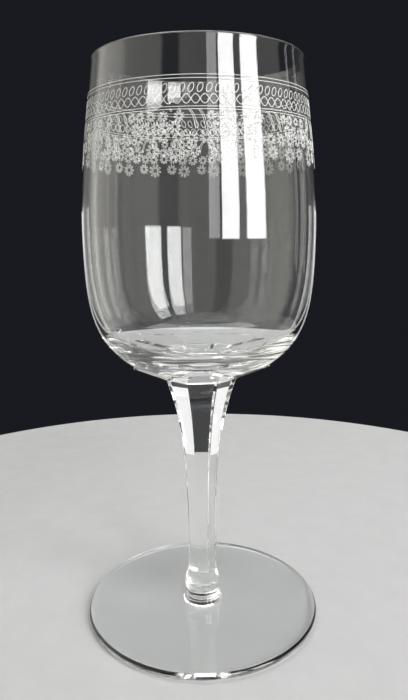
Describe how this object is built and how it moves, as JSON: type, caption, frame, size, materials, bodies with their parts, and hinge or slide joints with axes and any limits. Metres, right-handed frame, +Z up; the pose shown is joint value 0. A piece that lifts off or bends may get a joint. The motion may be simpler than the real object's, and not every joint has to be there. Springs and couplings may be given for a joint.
{
  "type": "wine glass",
  "caption": "Stemmed wine glass with a tall rounded bowl, a faceted stem that flares into it, a thin flat foot and a fine etched band.",
  "frame": {"origin": "middle of the foot's underside, on the surface that the glass stands on", "axes": "+Z up along the glass's axis, from the foot to the rim; one stem facet faces each of +X, -X, +Y and -Y"},
  "size_m": [0.0816, 0.0816, 0.185],
  "materials": {
    "bowl_crystal": "clear fire-polished crystal",
    "stem_crystal": "clear cut and polished crystal",
    "foot_crystal": "clear fire-polished crystal",
    "etching": "fine white frosted etching"
  },
  "bodies": {
    "root": {"bowl": "bowl_crystal", "stem": "stem_crystal", "foot": "foot_crystal"}
  },
  "joints": []
}
